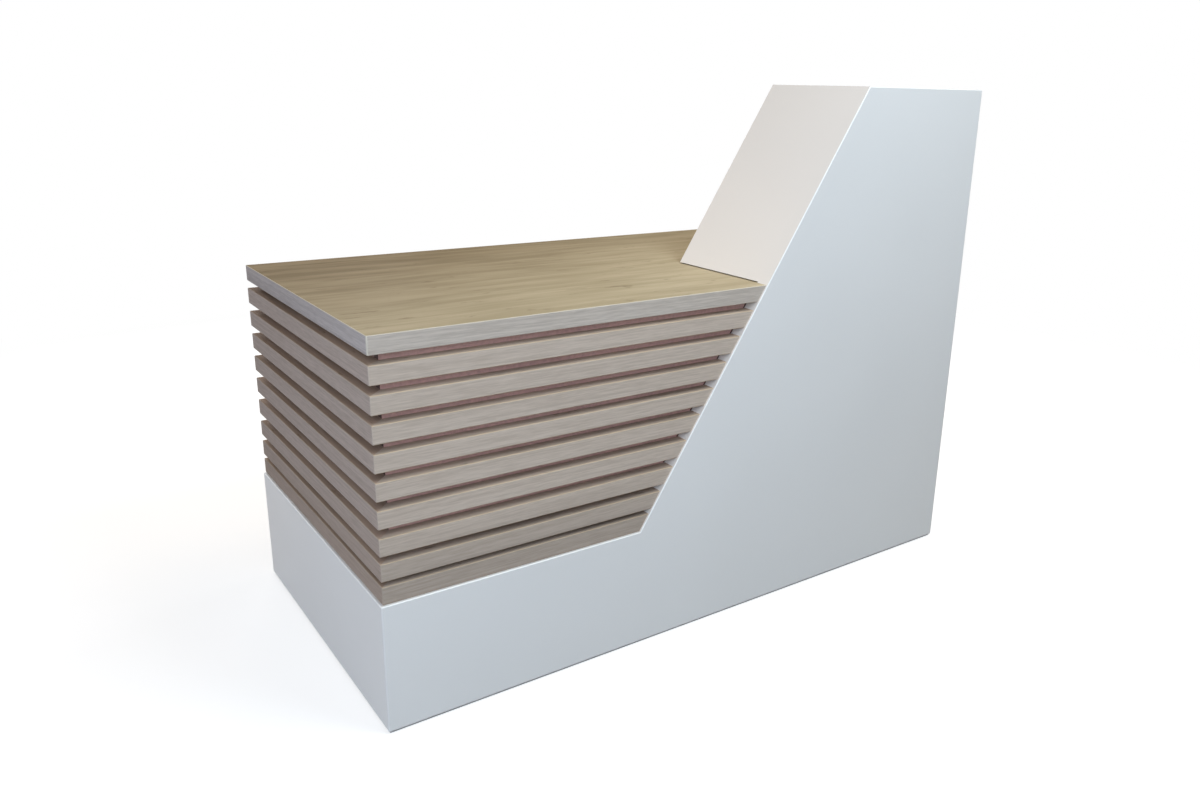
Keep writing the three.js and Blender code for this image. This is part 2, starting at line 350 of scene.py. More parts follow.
class Nodes:
    """Builds one material's node tree, with each input given as a value or as another node's socket."""

    drift_span: Span = (0.3, 0.7)
    arris_span: Span = (0.1, 0.8)
    facing_span: Span = (0.6, 0.8)

    def __init__(self, name: str) -> None:
        """Starts an empty tree with a principled shader on its output.

        Args:
            name: the material's name.
        """
        self.material = bpy.data.materials.new(name)
        self.material.use_nodes = True
        self.tree = self.material.node_tree
        self.tree.nodes.clear()
        output = self.tree.nodes.new("ShaderNodeOutputMaterial")
        self.shader = self.tree.nodes.new("ShaderNodeBsdfPrincipled")
        self.tree.links.new(self.shader.outputs["BSDF"], output.inputs["Surface"])

    def node(self, kind: str, inputs: Mapping[Any, Any] | None = None, **settings: Any) -> bpy.types.Node:
        """Adds a node.

        Args:
            kind: the node's type after ShaderNode.
            inputs: input name or number to a value or a socket.
            settings: the node's own settings.

        Returns:
            The new node.
        """
        node = self.tree.nodes.new("ShaderNode" + kind)
        for key, value in settings.items():
            setattr(node, key, value)
        self.feed(node, inputs or {})
        return node

    def feed(self, node: bpy.types.Node, inputs: Mapping[Any, Any]) -> None:
        """Sets or links a node's inputs.

        Args:
            node: the node.
            inputs: input name or number to a value or a socket.
        """
        for key, value in inputs.items():
            if isinstance(value, bpy.types.NodeSocket):
                self.tree.links.new(value, node.inputs[key])
            else:
                node.inputs[key].default_value = value

    def place(self) -> Socket:
        """Gives the piece's own coordinates in metres."""
        return self.node("TexCoord").outputs["Object"]

    def normal(self) -> Socket:
        """Gives the direction that a face looks in."""
        return self.node("TexCoord").outputs["Normal"]

    def parts(self, vector: Socket) -> Sequence[Socket]:
        """Splits a vector into its three parts."""
        return self.node("SeparateXYZ", {0: vector}).outputs

    def vector(self, *parts: Socket) -> Socket:
        """Joins three parts into a vector."""
        return self.node("CombineXYZ", dict(enumerate(parts))).outputs[0]

    def math(self, operation: str, *values: Any, clamp: bool = False) -> Socket:
        """Adds a sum of one, two or three numbers or sockets, held from 0 to 1 if clamp is set."""
        return self.node("Math", dict(enumerate(values)), operation=operation, use_clamp=clamp).outputs[0]

    def weighted(self, *layers: tuple[Socket, float]) -> Socket:
        """Adds up layers, each times its weight.

        Args:
            layers: each layer's socket and its weight.

        Returns:
            The total's socket.
        """
        total: Any = 0.0
        for layer, weight in layers:
            total = self.math("MULTIPLY_ADD", layer, weight, total)
        return total

    def about(self, middle: float, noise: Socket, spread: float) -> Socket:
        """Spreads noise about a middle value: middle + spread (noise - 0.5)."""
        return self.math("MULTIPLY_ADD", noise, spread, middle - 0.5 * spread)

    def noise(self, vector: Socket, scale: float | Triple, detail: float, rough: float = 0.5) -> Socket:
        """Adds noise, which may be stretched along the axes.

        Args:
            vector: coordinates in metres.
            scale: waves per metre, for all axes or for each.
            detail: octaves of finer noise.
            rough: how strong the finer noise is.

        Returns:
            A value about 0.5, from 0 to 1.
        """
        waves = tuple(float(axis) for axis in np.broadcast_to(scale, 3))
        place = self.node("Mapping", {"Vector": vector, "Scale": waves})
        inputs = {"Vector": place.outputs[0], "Scale": 1.0, "Detail": detail, "Roughness": rough}
        return self.node("TexNoise", inputs).outputs[0]

    def ramp(self, value: Socket, span: Span, top: float = 1.0) -> Socket:
        """Spreads a span of values over 0 to top, with soft ends."""
        inputs = {"Value": value, "From Min": span[0], "From Max": span[1], "To Max": top}
        return self.node("MapRange", inputs, interpolation_type="SMOOTHSTEP").outputs[0]

    def looks_along(self, part: Socket) -> Socket:
        """Tells how much a face looks along an axis, either way, by its normal's part on that axis."""
        return self.ramp(self.math("ABSOLUTE", part), self.facing_span)

    def arris(self) -> Socket:
        """Gives how far a place lies on a rounded arris."""
        return self.node("Attribute", attribute_name="arris").outputs["Fac"]

    def blend(self, share: Any, first: Any, second: Any) -> Socket:
        """Mixes two colours.

        Args:
            share: how much of the second there is, from 0 to 1.
            first: a linear colour or a socket.
            second: a linear colour or a socket.

        Returns:
            The mixed colour's socket.
        """
        colours = [rgba(one) if isinstance(one, tuple) else one for one in (first, second)]
        node = self.node("Mix", {0: share, 6: colours[0], 7: colours[1]}, data_type="RGBA")
        return node.outputs[2]

    def tone(self, share: Socket, tone: Tone) -> Socket:
        """Runs from a tone's dark shade to its light one."""
        return self.blend(share, tone.dark, tone.light)

    def pick(self, share: Socket, first: Socket, second: Socket) -> Socket:
        """Mixes two vectors, with all of the second where share is 1."""
        node = self.node("Mix", {0: share, 4: first, 5: second}, data_type="VECTOR")
        return node.outputs[1]

    def bump(self, height: Socket, distance: float, strength: float) -> None:
        """Gives the shader a bump.

        Args:
            height: the height's socket.
            distance: height of a full step in metres.
            strength: how much of it shows.
        """
        node = self.node("Bump", {"Height": height, "Distance": distance, "Strength": strength})
        self.feed(self.shader, {"Normal": node.outputs[0]})


@dataclass(frozen=True)
class WhiteLacquer:
    """Sprayed satin lacquer on fibreboard, with a faint orange peel and a painted highlight on its arrises.

    The slanted faces, which look up to the left, take a warmer copy of the face tone: painted warm light
    from above.
    """

    name: str
    face: Tone
    # painted warm light: a warmer copy of the face tone for the faces that look up to the left
    slanted: Tone
    # painted highlight: the colour drawn on the rounded arrises
    arris: Colour
    slant_normal: Direction = (-0.839, 0.0, 0.544)
    slant_span: Span = (0.9, 0.98)
    drift: float = 1.7
    haze: float = 24.0
    peel: float = 420.0
    roughness: float = 0.34
    haze_spread: float = 0.08
    arris_wear: float = 0.05
    coat: float = 0.12
    coat_roughness: float = 0.22
    peel_height: float = 0.02 * MM
    peel_strength: float = 0.35

    def material(self) -> bpy.types.Material:
        """Builds the lacquer.

        Returns:
            The material.
        """
        nodes = Nodes(self.name)
        place = nodes.place()
        shade = nodes.ramp(nodes.noise(place, self.drift, 2.0), nodes.drift_span)
        face, slanted = (nodes.blend(shade, tone.light, tone.dark) for tone in (self.face, self.slanted))
        lean = {0: nodes.normal(), 1: self.slant_normal}
        facing = nodes.node("VectorMath", lean, operation="DOT_PRODUCT").outputs["Value"]
        # painted warm light on the faces that look up to the left
        board = nodes.blend(nodes.ramp(facing, self.slant_span), face, slanted)
        weight = nodes.arris()
        brushed = nodes.about(self.roughness, nodes.noise(place, self.haze, 3.0), self.haze_spread)
        nodes.feed(nodes.shader, {
            # painted highlight: the rounded arrises blend towards the arris colour
            "Base Color": nodes.blend(nodes.ramp(weight, nodes.arris_span), board, self.arris),
            "Roughness": nodes.math("MULTIPLY_ADD", weight, self.arris_wear, brushed),
            "Coat Weight": self.coat,
            "Coat Roughness": self.coat_roughness,
        })
        nodes.bump(nodes.noise(place, self.peel, 1.0), self.peel_height, self.peel_strength)
        return nodes.material


class GrainAxis(Enum):
    """The way the grain runs on a board's broad faces."""

    ALONG_X = "x"
    ALONG_Y = "y"


class OakLayer(Enum):
    """A layer of the oak's figure: waves per metre along and across the grain, octaves, their strength."""

    WANDER = (2.2, 5.0, 2.0, 0.5)
    CLOUD = (1.5, 13.0, 3.0, 0.55)
    BLOTCH = (3.6, 32.0, 3.0, 0.6)
    STREAK = (2.4, 90.0, 4.0, 0.6)
    LINE = (1.2, 230.0, 3.0, 0.6)
    DASH = (26.0, 430.0, 2.0, 0.6)
    FLECK = (15.0, 60.0, 3.0, 0.6)
    PORE = (36.0, 900.0, 1.0, 0.5)

    def noise(self, nodes: Nodes, grain: Socket) -> Socket:
        """Adds the layer's noise on coordinates along the grain, across it and into the board."""
        along, across, detail, rough = self.value
        return nodes.noise(grain, (along, across, across), detail, rough)


@dataclass(frozen=True)
class OakDecor:
    """Matt oak decor: cloudy figure, flecks and fine pores on the broad faces, lined bands on the edges.

    The ends take the edges' tone unless they have their own. A board with a painted shade tone turns
    to it towards its back left: painted shade, darker where less light falls than at the front right.
    Boards near the floor darken towards the low shade colour, painted shade. Arrises take a painted
    highlight.
    """

    name: str
    grain: GrainAxis
    face: Tone
    edge: Tone
    # painted highlight: the colour drawn on the rounded arrises
    arris: Colour
    end: Tone | None = None
    # painted shade: a darker copy of the face tone towards the back left, where less light falls
    painted_shade: Tone | None = None
    painted_shade_cloud: float = 0.3
    painted_shade_x: float = 0.55
    painted_shade_span: Span = (-0.15, 0.89)
    # painted shade: boards darken towards this colour near the floor, where less light reaches
    painted_low_shade: Colour = srgb(112, 101, 92)
    painted_low_shade_heights: Span = (0.42, 0.25)
    painted_low_shade_share: float = 0.34
    painted_highlight_share: float = 0.8
    wander: float = 0.05
    figure_mix: Triple = (0.32, 0.48, 0.2)
    figure_span: Span = (0.38, 0.62)
    band_mix: Triple = (0.15, 0.4, 0.45)
    band_span: Span = (0.36, 0.64)
    speck_span: Span = (0.62, 0.74)
    fleck: Colour = srgb(104, 86, 64)
    fleck_share: float = 0.4
    pore_share: float = 0.16
    roughness: float = 0.6
    band_gloss: float = 0.14
    coat: float = 0.05
    coat_roughness: float = 0.4
    pore_relief: float = -0.5
    relief_height: float = 0.06 * MM
    relief_strength: float = 0.5

    def grain_coordinates(self, nodes: Nodes) -> tuple[Socket, Socket, Socket]:
        """Lays coordinates along the grain, across it and into the board, on each face by its normal.

        Args:
            nodes: the material's nodes.

        Returns:
            The coordinates, how much a face is an edge, and how much it looks left or right.
        """
        x, y, z = nodes.parts(nodes.place())
        sideways, frontways, upright = (nodes.looks_along(part) for part in nodes.parts(nodes.normal()))
        broad = (x, y, z) if self.grain is GrainAxis.ALONG_X else (y, x, z)
        on_face, on_front, on_side = (nodes.vector(*order) for order in (broad, (x, z, y), (y, z, x)))
        lined = nodes.pick(sideways, nodes.pick(frontways, on_face, on_front), on_side)
        return lined, nodes.math("SUBTRACT", 1.0, upright, clamp=True), sideways

    def figure(self, nodes: Nodes, cloud: Socket, blotch: Socket, streak: Socket) -> Socket:
        """Colours a broad face, whose painted shade grows from the front right to the back left.

        Args:
            nodes: the material's nodes.
            cloud: widest noise, which also breaks up the painted shade's boundary.
            blotch: middling noise.
            streak: finest noise.

        Returns:
            The colour's socket.
        """
        layers = zip((cloud, blotch, streak), self.figure_mix)
        share = nodes.ramp(nodes.weighted(*layers), self.figure_span)
        plain = nodes.tone(share, self.face)
        if self.painted_shade is None:
            return plain
        # painted shade: the face darkens towards the back left
        x, y, _ = nodes.parts(nodes.place())
        back_left = nodes.weighted((y, 1.0), (cloud, self.painted_shade_cloud), (x, -self.painted_shade_x))
        return nodes.blend(nodes.ramp(back_left, self.painted_shade_span), plain, nodes.tone(share, self.painted_shade))

    def material(self) -> bpy.types.Material:
        """Builds the decor.

        Returns:
            The material.
        """
        nodes = Nodes(self.name)
        lined, edge, end = self.grain_coordinates(nodes)
        sway = nodes.about(0.0, OakLayer.WANDER.noise(nodes, lined), self.wander)
        offset = nodes.node("CombineXYZ", {1: sway}).outputs[0]
        waved = nodes.node("VectorMath", {0: lined, 1: offset}, operation="ADD").outputs[0]
        cloud, blotch, streak, fleck, pore = (
            layer.noise(nodes, waved)
            for layer in (OakLayer.CLOUD, OakLayer.BLOTCH, OakLayer.STREAK, OakLayer.FLECK, OakLayer.PORE)
        )
        line, dash = (layer.noise(nodes, lined) for layer in (OakLayer.LINE, OakLayer.DASH))
        flecks = nodes.ramp(fleck, self.speck_span, self.fleck_share)
        face = nodes.blend(flecks, self.figure(nodes, cloud, blotch, streak), self.fleck)
        bands = nodes.weighted(*zip((streak, line, dash), self.band_mix))
        banded = nodes.ramp(bands, self.band_span)
        along, across = (nodes.tone(banded, tone) for tone in (self.edge, self.end or self.edge))
        board = nodes.blend(edge, face, nodes.blend(end, along, across))
        pores = nodes.ramp(pore, self.speck_span, self.pore_share)
        # painted highlight on the rounded arrises
        eased = nodes.ramp(nodes.arris(), nodes.arris_span, self.painted_highlight_share)
        # painted shade towards the floor
        low = nodes.ramp(nodes.parts(nodes.place())[2], self.painted_low_shade_heights, self.painted_low_shade_share)
        colour = nodes.blend(eased, nodes.blend(pores, board, self.face.dark), self.arris)
        nodes.feed(nodes.shader, {
            "Base Color": nodes.blend(low, colour, self.painted_low_shade),
            "Roughness": nodes.about(self.roughness, bands, self.band_gloss),
            "Specular IOR Level": 0.0,
            "Coat Weight": self.coat,
            "Coat Roughness": self.coat_roughness,
        })
        relief = nodes.math("MULTIPLY_ADD", pore, self.pore_relief, line)
        nodes.bump(relief, self.relief_height, self.relief_strength)
        return nodes.material


class BroadAxis(Enum):
    """The axis that a carcass board's broad faces look along."""

    X = 0
    Y = 1


@dataclass(frozen=True)
class BrownMelamine:
    """Reddish brown melamine: a fine printed speckle on pebbled broad faces, and dark unfaced edges whose
    darkness is partly painted shade in the joints.
    """

    name: str
    broad: BroadAxis
    face: Tone
    # dark edge tone: unfaced board, darkened further as painted shade for the joints and the corner
    edge: Tone = Tone(srgb(94, 70, 62), srgb(70, 51, 45))
    drift: float = 3.0
    speckle: float = 160.0
    chip: float = 420.0
    pebble: float = 700.0
    speckle_span: Span = (0.35, 0.65)
    roughness: float = 0.58
    pebble_gloss: float = 0.1
    pebble_height: float = 0.03 * MM
    pebble_strength: float = 0.4

    def material(self) -> bpy.types.Material:
        """Builds the melamine.

        Returns:
            The material.
        """
        nodes = Nodes(self.name)
        place = nodes.place()
        drift = nodes.noise(place, self.drift, 2.0)
        speckle = nodes.noise(place, self.speckle, 3.0)
        chip = nodes.noise(place, self.chip, 2.0)
        pebble = nodes.noise(place, self.pebble, 1.0)
        dots = nodes.ramp(nodes.weighted((drift, 0.5), (speckle, 0.5)), self.speckle_span)
        printed = nodes.tone(dots, self.face)
        # unfaced edges, darkened partly as painted shade
        unfaced_and_shaded = nodes.tone(nodes.ramp(chip, self.speckle_span), self.edge)
        broad = nodes.looks_along(nodes.parts(nodes.normal())[self.broad.value])
        nodes.feed(nodes.shader, {
            "Base Color": nodes.blend(broad, unfaced_and_shaded, printed),
            "Roughness": nodes.about(self.roughness, pebble, self.pebble_gloss),
        })
        nodes.bump(pebble, self.pebble_height, self.pebble_strength)
        return nodes.material


@dataclass(frozen=True)
class FittingFinish:
    """A fitting's surface: a faint drift between two shades, and fine marks in its gloss and relief."""

    name: str
    tone: Tone
    drift: float
    marks: float | Triple
    roughness: float
    mark_gloss: float
    mark_height: float
    mark_strength: float
    metallic: float = 0.0

    def material(self) -> bpy.types.Material:
        """Builds the surface.

        Returns:
            The material.
        """
        nodes = Nodes(self.name)
        place = nodes.place()
        marks = nodes.noise(place, self.marks, 2.0)
        drift = nodes.ramp(nodes.noise(place, self.drift, 2.0), nodes.drift_span)
        nodes.feed(nodes.shader, {
            "Base Color": nodes.tone(drift, self.tone),
            "Roughness": nodes.about(self.roughness, marks, self.mark_gloss),
            "Metallic": self.metallic,
        })
        nodes.bump(marks, self.mark_height, self.mark_strength)
        return nodes.material


@dataclass(frozen=True)
class ZincPlate(FittingFinish):
    """Bright zinc plate: cool metal with a faint yellow drift and fine rolling marks."""

    drift: float = 60.0
    marks: float | Triple = (300.0, 300.0, 2200.0)
    roughness: float = 0.32
    mark_gloss: float = 0.18
    mark_height: float = 0.01 * MM
    mark_strength: float = 0.4
    metallic: float = 1.0


@dataclass(frozen=True)
class MouldedNylon(FittingFinish):
    """Black moulded nylon with a spark-eroded texture."""

    drift: float = 40.0
    marks: float | Triple = 900.0
    roughness: float = 0.55
    mark_gloss: float = 0.16
    mark_height: float = 0.04 * MM
    mark_strength: float = 0.5


class Finish(Enum):
    """The desk's finishes, each with the slot of the record that it belongs to."""

    WHITE = ("white_lacquer", WhiteLacquer(
        "white_lacquer",
        face=Tone(srgb(232, 232, 231), srgb(228, 228, 227)),
        # slanted: painted warm light, a warmer copy of the face tone
        slanted=Tone(srgb(236, 230, 224), srgb(232, 226, 220)),
        # arris: painted highlight colour
        arris=srgb(252, 252, 251),
    ))
    OAK_WORKTOP = ("oak_worktop", OakDecor(
        "oak_worktop",
        GrainAxis.ALONG_X,
        face=Tone(srgb(202, 188, 160), srgb(182, 168, 140)),
        edge=Tone(srgb(204, 193, 182), srgb(182, 171, 160)),
        # end: a lighter copy of the edge banding's tone, painted light on the worktop's left end
        end=Tone(srgb(206, 196, 191), srgb(184, 174, 169)),
        # arris: painted highlight colour
        arris=srgb(222, 213, 196),
        # painted shade towards the back left of the worktop
        painted_shade=Tone(srgb(158, 141, 114), srgb(132, 116, 91)),
    ))
    OAK_FRONT_SLAT = ("oak_slat", OakDecor(
        "oak_front_slat",
        GrainAxis.ALONG_X,
        face=Tone(srgb(196, 177, 160), srgb(176, 158, 142)),
        edge=Tone(srgb(205, 190, 176), srgb(186, 171, 157)),
        arris=srgb(208, 185, 148),
        painted_highlight_share=0.5,
    ))
    # the side slats take a darker copy of the front slats' tones: painted shade for the less lit left side
    OAK_SIDE_SLAT = ("oak_slat", OakDecor(
        "oak_side_slat",
        GrainAxis.ALONG_Y,
        face=Tone(srgb(184, 160, 142), srgb(164, 141, 124)),
        edge=Tone(srgb(202, 185, 174), srgb(182, 166, 154)),
        arris=srgb(198, 184, 164),
        painted_highlight_share=0.45,
        # painted shade colour near the floor for the side slats
        painted_low_shade=srgb(164, 140, 118),
    ))
    # BROWN_FRONT and BROWN_SIDE are lit and shaded copies of one brown board: painted light on the front,
    # painted shade on the side
    BROWN_FRONT = ("brown_carcass", BrownMelamine(
        "brown_carcass_front", BroadAxis.Y, Tone(srgb(221, 178, 169), srgb(201, 159, 151))
    ))
    BROWN_SIDE = ("brown_carcass", BrownMelamine(
        "brown_carcass_side", BroadAxis.X, Tone(srgb(172, 140, 132), srgb(152, 122, 114))
    ))
    ZINC = ("zinc_steel", ZincPlate("zinc_steel", Tone((0.62, 0.63, 0.65), (0.5, 0.5, 0.49))))
    FOOT_ZINC = ("foot_steel", ZincPlate("foot_steel", Tone((0.55, 0.56, 0.58), (0.44, 0.44, 0.43))))
    NYLON = ("black_nylon", MouldedNylon("black_nylon", Tone((0.022, 0.022, 0.024), (0.012, 0.012, 0.013))))


class FinishStore:
    """Builds each finish once and puts it on pieces."""

    def __init__(self) -> None:
        """Starts with no material built."""
        self.built: dict[Finish, bpy.types.Material] = {}

    def coat(self, piece: bpy.types.Object, finish: Finish) -> None:
        """Puts a finish on a piece, and builds its material the first time.

        Args:
            piece: a new piece or a node of the frame.
            finish: its finish.
        """
        if finish not in self.built:
            self.built[finish] = finish.value[1].material()
        piece.data.materials.clear()
        piece.data.materials.append(self.built[finish])

    def dress(self, piece: bpy.types.Object, finish: Finish, node: str, body: str = DESK) -> None:
        """Finishes a new piece, sets it on its body and lets it stand for a node of the frame.

        Args:
            piece: the new piece.
            finish: its finish.
            node: the node that it replaces.
            body: the body it rides on.
        """
        self.coat(piece, finish)
        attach(piece, body)
        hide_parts(node)
        LOG.info("%s: %s on %s", piece.name, finish.name.lower(), body)

    def refinish(self, node: str, finish: Finish) -> None:
        """Gives a node of the frame a better material and leaves its shape alone."""
        self.coat(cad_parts[node], finish)
        LOG.info("%s: %s, shape kept", node, finish.name.lower())


# The desk

@dataclass(frozen=True)
class SlantLine:
    """The slanted edge of the front, as x = foot_x + run (z - foot_z)."""

    foot_x: float
    foot_z: float
    run: float

    @classmethod
    def of_frame(cls) -> "SlantLine":
        """Reads the slant from the tower's slanted panel and from the ends of the front slats.

        Returns:
            The slant.
        """
        low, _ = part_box("tower_slant_panel")
        first, last = (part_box(f"front_slat_{course}")[1] for course in (1, SLAT_COURSES))
        return cls(low.x, low.z, (last.x - first.x) / (last.z - first.z))

    def x_at(self, z: Any) -> Any:
        """Gives the slant's x at a height or at many heights."""
        return self.foot_x + self.run * (z - self.foot_z)

    def shear(self, end: float) -> Warp:
        """Makes a warp that leans a square end along the slant: x_at(z) in place of x = end.

        Args:
            end: x of the square end.

        Returns:
            The warp.
        """
        def lean(place: Array) -> Array:
            """Leans the corners at the end and leaves the rest."""
            shift = np.where(np.isclose(place[:, 0], end), self.x_at(place[:, 2]) - end, 0.0)
            return place + shift[:, None] * np.array([1.0, 0.0, 0.0])

        return lean


SLANT = SlantLine.of_frame()


@dataclass
class FrontCladding:
    """The white front, from the plinth strip to the top of the tower, and the plinth's left side."""

    arris_radius: float = 2.2 * MM

    def build(self, store: FinishStore) -> None:
        """Makes and dresses both panels.

        Args:
            store: the finishes.
        """
        low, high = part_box("front_panel")
        side_low, side_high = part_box("plinth_side_panel")
        left, plinth_top = side_low.x, side_high.z
        outline = np.array([
            (left, low.z),
            (high.x, low.z),
            (high.x, high.z),
            (SLANT.x_at(high.z), high.z),
            (SLANT.x_at(plinth_top), plinth_top),
            (left, plinth_top),
        ])
        edges = [EdgeKind.EASED] * 5 + [EdgeKind.MITRED]
        front = Board(
            "front_panel_lacquered", Facing.FRONT, outline, edges, -low.y, high.y - low.y,
            self.arris_radius,
        )
        store.dress(front.build(), Finish.WHITE, "front_panel")
        outline = rectangle(-side_high.y, side_low.z, -low.y, plinth_top)
        edges = [EdgeKind.EASED, EdgeKind.MITRED, EdgeKind.EASED, EdgeKind.EASED]
        side = Board(
            "plinth_side_lacquered", Facing.LEFT, outline, edges, -left, side_high.x - left,
            self.arris_radius,
        )
        store.dress(side.build(), Finish.WHITE, "plinth_side_panel")


@dataclass
class SlatStack:
    """The courses of oak slats, mitred and softly rounded at the front left corner."""

    arris_radius: float = 1.8 * MM
    corner_radius: float = 2.0 * MM
    corner_shine: float = 0.35

    def front_slat(self, course: int) -> Board:
        """Draws a front slat from above, with its right end sheared along the slant.

        Args:
            course: its number, counted from the plinth up.

        Returns:
            The slat.
        """
        low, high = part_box(f"front_slat_{course}")
        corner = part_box(f"side_slat_{course}")[0].x
        end = SLANT.x_at(0.5 * (low.z + high.z))
        centre = (corner + self.corner_radius, low.y + self.corner_radius)
        rounding = arc_points(centre, self.corner_radius, 225.0, 270.0)
        straight = np.array([(end, low.y), (end, high.y), (corner + high.y - low.y, high.y)])
        edges = [EdgeKind.EASED] * len(rounding) + [EdgeKind.SQUARE] * len(straight)
        shine = np.zeros(len(edges))
        shine[:len(rounding)] = np.linspace(self.corner_shine, 0.0, len(rounding))
        return Board(
            f"front_slat_{course}_banded", Facing.TOP, np.concatenate([rounding, straight]), edges,
            high.z, high.z - low.z, self.arris_radius, self.arris_radius, SLANT.shear(end), shine,
        )

    def side_slat(self, course: int) -> Board:
        """Draws a side slat from above, from its back end to the mitre.

        Args:
            course: its number, counted from the plinth up.

        Returns:
            The slat.
        """
        low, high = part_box(f"side_slat_{course}")
        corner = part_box(f"front_slat_{course}")[0].y
        centre = (low.x + self.corner_radius, corner + self.corner_radius)
        rounding = arc_points(centre, self.corner_radius, 180.0, 225.0)
        ends = np.array([(high.x, corner + high.x - low.x), (high.x, high.y)])
        outline = np.concatenate([[(low.x, high.y)], rounding, ends])
        edges = [EdgeKind.EASED] * len(rounding) + [EdgeKind.SQUARE] * 2 + [EdgeKind.EASED]
        shine = np.zeros(len(edges))
        shine[1:len(rounding) + 1] = np.linspace(0.0, self.corner_shine, len(rounding))
        return Board(
            f"side_slat_{course}_banded", Facing.TOP, outline, edges,
            high.z, high.z - low.z, self.arris_radius, self.arris_radius, None, shine,
        )

    def build(self, store: FinishStore) -> None:
        """Makes and dresses every course.

        Args:
            store: the finishes.
        """
        for course in range(1, SLAT_COURSES + 1):
            front, side = self.front_slat(course).build(), self.side_slat(course).build()
            store.dress(front, Finish.OAK_FRONT_SLAT, f"front_slat_{course}")
            store.dress(side, Finish.OAK_SIDE_SLAT, f"side_slat_{course}")


@dataclass
class Worktop:
    """The oak worktop with banded edges, whose front strip stops at the slant."""

    arris_radius: float = 1.5 * MM
    corner_radius: float = 3.0 * MM
    corner_steps: int = 6

    def build(self, store: FinishStore) -> None:
        """Makes and dresses the board.

        Args:
            store: the finishes.
        """
        low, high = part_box("worktop")
        behind_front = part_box("tower_slant_panel")[0].y
        end = SLANT.x_at(0.5 * (low.z + high.z))
        radius = self.corner_radius
        left, right, front, back = low.x + radius, high.x - radius, low.y + radius, high.y - radius
        front_left, back_right, back_left = (
            arc_points(centre, radius, start, finish, self.corner_steps)
            for centre, start, finish in (
                ((left, front), 180.0, 270.0),
                ((right, back), 0.0, 90.0),
                ((left, back), 90.0, 180.0),
            )
        )
        notch = np.array([(end, low.y), (end, behind_front), (high.x, behind_front)])
        outline = np.concatenate([front_left, notch, back_right, back_left])
        round_corner = np.sin(np.linspace(0.0, math.pi, self.corner_steps + 1))
        shine = np.concatenate([round_corner, np.zeros(len(notch)), round_corner, round_corner])
        edges = [EdgeKind.EASED] * len(outline)
        edges[len(front_left):len(front_left) + 2] = [EdgeKind.SQUARE] * 2
        board = Board(
            "worktop_banded", Facing.TOP, outline, edges, high.z, high.z - low.z,
            self.arris_radius, self.arris_radius, SLANT.shear(end), shine,
        )
        store.dress(board.build(), Finish.OAK_WORKTOP, "worktop")


@dataclass
class Tower:
    """The white boards behind the front that close the tower."""

    arris_radius: float = 0.8 * MM

    def upright(self, node: str, outline: Array) -> Board:
        """Draws a tower board as seen from the front, square towards the front and eased at the back.

        Args:
            node: the node that it stands for.
            outline: its corners.

        Returns:
            The board, which reaches the front panel where its node does within a millimetre.
        """
        low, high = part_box(node)
        behind_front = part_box("front_panel")[1].y
        front = behind_front if low.y - behind_front < MM else low.y
        edges = [EdgeKind.EASED] * len(outline)
        name = node.replace("panel", "lacquered")
        return Board(name, Facing.FRONT, outline, edges, -front, high.y - front, 0.0, self.arris_radius)

    def build(self, store: FinishStore) -> None:
        """Makes and dresses the slanted, back, top and right boards.

        Args:
            store: the finishes.
        """
        low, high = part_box("tower_slant_panel")
        foot, head = SLANT.x_at(low.z), SLANT.x_at(high.z)
        across = high.x - head
        slant = [(foot, low.z), (foot + across, low.z), (head + across, high.z), (head, high.z)]
        outlines = {"tower_slant_panel": np.array(slant)}
        for node in ("tower_back_panel", "tower_top_panel"):
            low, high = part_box(node)
            head = low.x + SLANT.x_at(high.z) - SLANT.x_at(low.z)
            outlines[node] = np.array([(low.x, low.z), (high.x, low.z), (high.x, high.z), (head, high.z)])
        low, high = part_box("tower_side_panel")
        outlines["tower_side_panel"] = rectangle(low.x, low.z, high.x, high.z)
        for node, outline in outlines.items():
            store.dress(self.upright(node, outline).build(), Finish.WHITE, node)


@dataclass
class Carcass:
    """The brown boards behind the slats and the tower, and the white right end."""

    arris_radius: float = 0.8 * MM

    def build(self, store: FinishStore) -> None:
        """Refinishes the brown boards, and makes and dresses the right end.

        Args:
            store: the finishes.
        """
        store.refinish("front_carcass_panel", Finish.BROWN_FRONT)
        store.refinish("tower_carcass_panel", Finish.BROWN_FRONT)
        store.refinish("side_carcass_panel", Finish.BROWN_SIDE)
        low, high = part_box("right_end_panel")
        outline = rectangle(low.y, low.z, high.y, high.z)
        edges = [EdgeKind.EASED, EdgeKind.EASED, EdgeKind.EASED, EdgeKind.SQUARE]
        board = Board(
            "right_end_lacquered", Facing.RIGHT, outline, edges, high.x, high.x - low.x,
            self.arris_radius, self.arris_radius,
        )
        store.dress(board.build(), Finish.WHITE, "right_end_panel")


# The fixings

def clockwise(sides: int) -> Array:
    """Gives the angles of a ring's corners, clockwise, so that a ring carried along its axis faces out."""
    return -2.0 * math.pi * np.arange(sides) / sides


def thread_wave(height: Array, angle: Array, pitch: float) -> Array:
    """Gives a thread: a triangle wave of height / pitch - angle / turn, 0 at its root, 1 at its crest."""
    phase = height / pitch - angle / (2.0 * math.pi)
    return np.abs(2.0 * (phase - np.floor(phase)) - 1.0)


